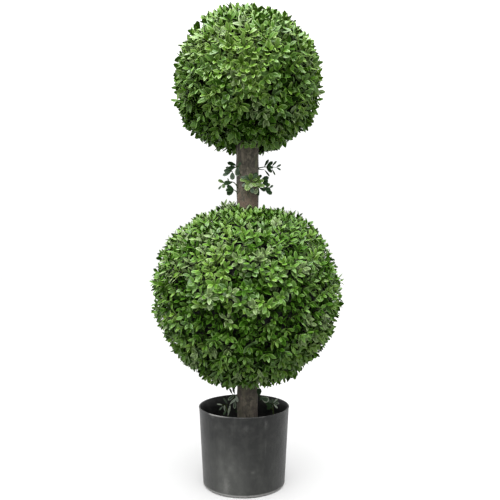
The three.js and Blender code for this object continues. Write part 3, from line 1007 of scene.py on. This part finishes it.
def barkFinish():
    bark = newMaterial("trunkBark", (0.12, 0.1, 0.08), 0.85, 0.3)
    sheet = NodeSheet(bark)
    fineGrain = sheet.cloud(420.0, 5.0, 0.62, 0.3, upScale=0.09)
    wideGrain = sheet.cloud(120.0, 3.0, 0.5, 0.4, upScale=0.22)
    blotches = sheet.cloud(130.0, 4.0, 0.65, 0.5, upScale=0.55, shift=(1.7, 4.1, 0))
    mossPatches = sheet.cloud(48.0, 4.0, 0.6, upScale=0.5, shift=(3.1, 0, 0))
    plumPatches = sheet.cloud(55.0, 4.0, 0.6, upScale=0.5, shift=(0, 7.3, 0))
    knobs = sheet.cloud(260.0, 3.0, 0.6, 0.3, upScale=0.8, shift=(0, 2.3, 5.1))
    height = sheet.along(sheet.place(), 2)
    rustBand = sheet.step(height, 0.575, 0.535) * sheet.step(height, 0.45, 0.5)
    tone = sheet.coated(
        barkTones, "furrow",
        (sheet.step(blotches, 0.38, 0.62), "ridge"),
        (sheet.step(mossPatches, 0.48, 0.66) * 0.6, "moss"),
        (sheet.step(plumPatches, 0.5, 0.68) * 0.55, "plum"),
        (sheet.step(wideGrain, 0.62, 0.38) * 0.35, "wideCrack"),
        (sheet.step(fineGrain, 0.58, 0.36) * 0.4, "fineCrack"),
        (rustBand * sheet.step(blotches, 0.35, 0.6) * 0.75, "rust"),
        (sheet.step(knobs, 0.52, 0.4) * 0.3, "knob"),
        (sheet.step(height, 0.61, 0.65) * 0.15, "shade"),
        # painted light: lighter at the foot, where the lower ball's shadow falls
        (sheet.step(height, 0.2, 0.15) * 0.12, "foot"))
    sheet.dress({
        "Base Color": tone,
        "Roughness": sheet.step(fineGrain, 0.2, 0.8) * 0.2 + 0.72,
        "Normal": sheet.bump(fineGrain * 0.6 + blotches + wideGrain * 0.4, 0.0016)})
    return bark


trunkPiece = makeTrunk()
setMaterial(trunkPiece, barkFinish())
hand(trunkPiece, "bark", "trunk")
print("trunk made")


# pot and its fill

pot = {
    "height": 0.148, "rimRadius": 0.0873, "baseRadius": 0.0784, "wall": 0.0022, "floor": 0.004,
    "bead": 0.0006, "beadHeight": 0.0018, "edge": 0.0006, "footRound": 0.002, "footStep": 0.0005,
    "grooveInner": 0.052, "grooveOuter": 0.068, "grooveDepth": 0.0016, "grooveSlope": 0.001,
    "outerHeights": (0.012, 0.045, 0.085, 0.125), "innerHeights": (0.12, 0.08, 0.04, 0.01),
    "drainHoles": 6, "drainRadius": 0.0045, "drainSides": 24, "steps": 128,
}
fill = {
    "top": 0.1, "crown": 0.004, "gap": 0.0006, "shoulder": 0.012, "floorGap": 0.0003, "inset": 0.0062,
    "rings": 30, "steps": 120, "holeRadius": trunk["footRadius"] * 1.04 + 0.0003, "holeDepth": 0.3,
    "reliefScale": 0.006, "relief": 0.0035,
}


def potWall(z):
    low, high = pot["baseRadius"], pot["rimRadius"] - pot["bead"]
    return low + (high - low) * z / pot["height"]


def potProfile():
    top, foot, step, edge = pot["height"], pot["footRound"], pot["footStep"], pot["edge"]
    slope, depth = pot["grooveSlope"], pot["grooveDepth"]
    profile = [(0, 0), (pot["grooveInner"], 0), (pot["grooveInner"] + slope, depth),
               (pot["grooveOuter"] - slope, depth), (pot["grooveOuter"], 0)]
    for i in range(6):
        angle = i / 5 * math.pi / 2
        profile.append((potWall(foot) - step - foot * (1 - math.sin(angle)), foot * (1 - math.cos(angle))))
    profile += [(potWall(foot), foot + step), (potWall(foot + 0.0008), foot + step + 0.0008)]
    profile += [(potWall(z), z) for z in pot["outerHeights"]]
    beadFoot = top - pot["beadHeight"]
    profile.append((potWall(beadFoot - edge), beadFoot - edge))
    profile.append((potWall(beadFoot) + pot["bead"] * 0.85, beadFoot))
    rim = pot["rimRadius"]
    mouth = rim - pot["wall"] - pot["bead"]
    profile += [(rim, beadFoot + edge), (rim, top - 0.0007), (rim - edge, top),
                (mouth + edge, top), (mouth, top - 0.0008)]
    profile += [(potWall(z) - pot["wall"], z) for z in pot["innerHeights"]]
    corner = potWall(pot["floor"]) - pot["wall"]
    profile += [(corner - 0.003, pot["floor"] + 0.0012), (corner - 0.006, pot["floor"]), (0, pot["floor"])]
    return profile


plasticTones = {
    "dark": (0.004, 0.0044, 0.0044), "pale": (0.012, 0.0125, 0.0119), "bottomLight": (0.088, 0.09, 0.084),
    "streak": (0.055, 0.056, 0.052), "shade": (0.004, 0.0044, 0.0042), "sheen": (0.11, 0.112, 0.104),
    "mottle": (0.085, 0.087, 0.078), "scuff": (0.15, 0.15, 0.142), "rim": (0.1, 0.1, 0.096),
    "scratch": (0.2, 0.2, 0.19), "foot": (0.17, 0.17, 0.163),
}

# light scuffs: place on the wall, width, height and strength
scuffPlaces = [
    (-0.0563, -0.0655, 0.145, 0.005, 0.004, 0.22),
    (-0.05, -0.068, 0.127, 0.006, 0.009, 0.06),
    (0.0045, -0.085, 0.129, 0.007, 0.007, 0.12),
    (0.0395, -0.0745, 0.134, 0.004, 0.009, 0.2),
    (0.0395, -0.073, 0.096, 0.002, 0.026, 0.09),
    (0.0165, -0.08, 0.047, 0.005, 0.003, 0.16),
    (-0.031, -0.0725, 0.02, 0.008, 0.02, 0.26),
    (-0.0225, -0.077, 0.053, 0.009, 0.006, 0.08),
]


def plasticFinish():
    plastic = newMaterial("potPlastic", (0.02, 0.021, 0.02), 0.45, 0.26)
    sheet = NodeSheet(plastic)
    clouding = sheet.cloud(30.0, 5.0, 0.62, upScale=0.7)
    streaks = sheet.cloud(180.0, 3.0, 0.55, upScale=0.06)
    smears = sheet.cloud(110.0, 3.0, 0.6, 0.5, upScale=0.5, shift=(2.0, 5.0, 0))
    mottling = sheet.cloud(75.0, 4.0, 0.6, upScale=0.9, shift=(0, 0, 3.0))
    specks = sheet.cloud(420.0, 4.0, 0.65, upScale=0.7)
    grain = sheet.cloud(1400.0, 2.0, 0.5)
    seat = sheet.place()
    across, inward, height = (sheet.along(seat, axis) for axis in range(3))
    # painted shade: the pot's right side is darker, away from the key light and under the lower ball's
    # shadow
    paintedShadeSide = sheet.step(across + clouding * 0.02, -0.012, 0.026)
    # painted sheen: a faint paler upright band on the front left
    paintedSheenBand = sheet.step(across, -0.056, -0.04) * sheet.step(across, -0.006, -0.026)
    # painted shade: a darker upright band near the left edge, beside the painted sheen
    paintedShadeBand = sheet.step(across, -0.083, -0.072) * sheet.step(across, -0.04, -0.052)
    # painted light: the pot is lighter towards the bottom, where the floor's reflection falls and the ball's
    # shadow does not
    paintedBottomLight = sheet.step(height, 0.15, 0.0) * (sheet.step(clouding, 0.25, 0.75) * 0.5 + 0.5)
    scuffs = sheet.step(smears, 0.66, 0.8) * sheet.step(specks, 0.4, 0.6) * 0.25
    for east, south, high, wide, tall, strength in scuffPlaces:
        spot = sheet.place((1 / wide, 1 / wide, 1 / tall), (-east / wide, -south / wide, -high / tall))
        away = sheet.node("ShaderNodeVectorMath", {"operation": "LENGTH"}, {0: spot}, "Value")
        scuffs = scuffs + sheet.step(away + specks * 2.6, 2.6, 1.1) * strength
    # the rim is lighter in patches: partly wear and partly a painted highlight along its edge
    rimWearAndHighlight = sheet.step(height, 0.1466, 0.1475) * sheet.step(smears, 0.45, 0.7)
    rimScratch = sheet.step(height, 0.1455, 0.147) * sheet.step(inward, -0.02, -0.04)
    rimScratch = rimScratch * sheet.step(across, -0.066, -0.06) * sheet.step(across, -0.02, -0.05)
    # painted reflection: the rounded foot is lighter, as it reflects the floor
    footReflection = sheet.step(height, 0.0062, 0.0034) * (smears * 0.7 + 0.35)
    tone = sheet.coated(
        plasticTones, "dark",
        (sheet.step(clouding, 0.25, 0.8), "pale"),
        (paintedBottomLight * 0.54, "bottomLight"),
        (sheet.step(streaks, 0.46, 0.72) * 0.11, "streak"),
        (paintedShadeSide * (0.84 - paintedBottomLight * 0.26), "shade"),
        (paintedShadeBand * 0.45, "shade"),
        (paintedSheenBand * 0.015, "sheen"),
        (sheet.step(mottling, 0.42, 0.66) * 0.08, "mottle"),
        (scuffs, "scuff"),
        (rimWearAndHighlight * 0.25, "rim"),
        (rimScratch * 0.6, "scratch"),
        (footReflection, "foot"))
    sheet.dress({
        "Base Color": tone,
        "Roughness": sheet.step(clouding, 0.2, 0.8) * 0.14 + scuffs * 0.2 + rimWearAndHighlight * 0.2 + 0.34,
        "Normal": sheet.bump(grain * 0.4 + clouding + streaks * 0.4 + smears * 0.4, 0.0005)})
    return plastic


ballastTones = {"dark": (0.016, 0.014, 0.012), "pale": (0.05, 0.045, 0.038), "speck": (0.095, 0.088, 0.075)}


def ballastFinish():
    ballast = newMaterial("ballastCast", (0.03, 0.028, 0.025), 0.95, 0.3)
    sheet = NodeSheet(ballast)
    lumps = sheet.cloud(140.0, 5.0, 0.65)
    specks = sheet.cloud(900.0, 2.0, 0.6)
    tone = sheet.coated(
        ballastTones, "dark",
        (sheet.step(lumps, 0.3, 0.7), "pale"),
        (sheet.step(specks, 0.6, 0.75) * 0.6, "speck"))
    sheet.dress({
        "Base Color": tone,
        "Roughness": sheet.step(specks, 0.2, 0.8) * 0.12 + 0.85,
        "Normal": sheet.bump(lumps + specks * 0.4, 0.0015)})
    return ballast


def makePot():
    piece = turnedPiece("pot_shell", potProfile(), pot["steps"])
    circle = (pot["grooveInner"] + pot["grooveOuter"]) / 2
    for i in range(pot["drainHoles"]):
        angle = 2 * math.pi * (i + 0.5) / pot["drainHoles"]
        middle = (circle * math.cos(angle), circle * math.sin(angle), 0)
        drill(piece, pot["drainRadius"], 4 * pot["floor"], middle, pot["drainSides"])
    smoothByAngle(piece, 35)
    return piece


def makeFill():
    wall, gap = pot["wall"], fill["gap"]
    bottom = pot["floor"] + fill["floorGap"]
    shoulder = fill["shoulder"]
    topEdge = potWall(fill["top"]) - wall - gap
    low = fill["top"] - fill["crown"]
    profile = [(0, bottom), (potWall(bottom) - wall - fill["inset"], bottom),
               (potWall(shoulder) - wall - gap, shoulder), (topEdge, low)]
    for i in range(1, fill["rings"] + 1):
        share = 1 - i / fill["rings"]
        profile.append((topEdge * share, low + fill["crown"] * (1 - share ** 2)))
    piece = turnedPiece("pot_fill_cast", profile, fill["steps"])
    drill(piece, fill["holeRadius"], fill["holeDepth"], (trunk["x"], 0, fill["holeDepth"] / 2), 48)
    group = piece.vertex_groups.new(name="surface")
    group.add([v.index for v in piece.data.vertices if v.co.z > low + 0.0001], 1.0, "REPLACE")
    addRelief(piece, "castRelief", "CLOUDS", fill["reliefScale"], fill["relief"], {"noise_depth": 4},
              direction="Z", vertex_group="surface")
    smoothByAngle(piece, 50)
    return piece


potPiece = makePot()
setMaterial(potPiece, plasticFinish())
hand(potPiece, "pot_plastic", "pot")
fillPiece = makeFill()
setMaterial(fillPiece, ballastFinish())
hand(fillPiece, "ballast", "pot_fill")
print("pot and fill made")


# floor, light and camera

studio = {
    "floorRadius": 8.0, "floorDrop": 0.0004, "floorTone": 0.7, "horizon": 1.02, "zenith": 2.8, "sides": 0.58,
    "front": 2.05, "keyPlace": (-0.51, -1.09, 3.47), "keySize": 2.9, "keyPower": 540.0, "aim": (0, 0, 0.5),
}

floor = newPiece("studio_floor", bpy.ops.mesh.primitive_circle_add, vertices=96, fill_type="NGON",
                 radius=studio["floorRadius"], location=(0, 0, -studio["floorDrop"]))
settle(floor)
setMaterial(floor, newMaterial("studioFloor", (studio["floorTone"],) * 3, 0.9, 0.0))

world = bpy.data.worlds.new("studioWorld")
world.use_nodes = True
bpy.context.scene.world = world
worldSheet = NodeSheet(world)
skyward = worldSheet.node("ShaderNodeTexCoord", output="Generated")
skyHeight = worldSheet.along(skyward, 2)
skyRise = worldSheet.node("ShaderNodeMapRange", sockets={
    "Value": skyHeight, "From Min": 0.1, "From Max": 1.0,
    "To Min": studio["horizon"], "To Max": studio["zenith"]})
backness = worldSheet.along(skyward, 1)
skyTurn = worldSheet.step(backness, 0.45, 0.85) * (1.0 - studio["sides"])
skyTurn = skyTurn + worldSheet.step(backness, 0.0, -1.0) * (studio["front"] - studio["sides"])
# below its upper part the sky is the same all round
skyRise = skyRise * (worldSheet.step(skyHeight, 0.34, 0.6) * (skyTurn + (studio["sides"] - 1.0)) + 1.0)
worldSheet.feed(world.node_tree.nodes["Background"].inputs["Strength"], skyRise)
world.node_tree.nodes["Background"].inputs["Color"].default_value = (1, 1, 1, 1)

deselectAll()
bpy.ops.object.light_add(type="AREA", location=studio["keyPlace"])
key = bpy.context.object
key.name = "keyLight"
key.data.size = studio["keySize"]
key.data.energy = studio["keyPower"]
key.rotation_euler = (Vector(studio["aim"]) - key.location).to_track_quat("-Z", "Y").to_euler()

# the key light passes the floor by, so the floor keeps one even tone
passedBy = bpy.data.collections.new("passedByKey")
key.light_linking.receiver_collection = passedBy
passedBy.objects.link(floor)
passedBy.collection_objects[0].light_linking.link_state = "EXCLUDE"

camera = {"place": (0.0116, -1.137, 0.4485), "lens": 42.26}
bpy.ops.object.camera_add(location=camera["place"], rotation=(math.pi / 2, 0, 0))
bpy.context.object.data.lens = camera["lens"]
bpy.context.scene.camera = bpy.context.object
bpy.context.scene.view_settings.view_transform = "Standard"

print("scene ready")
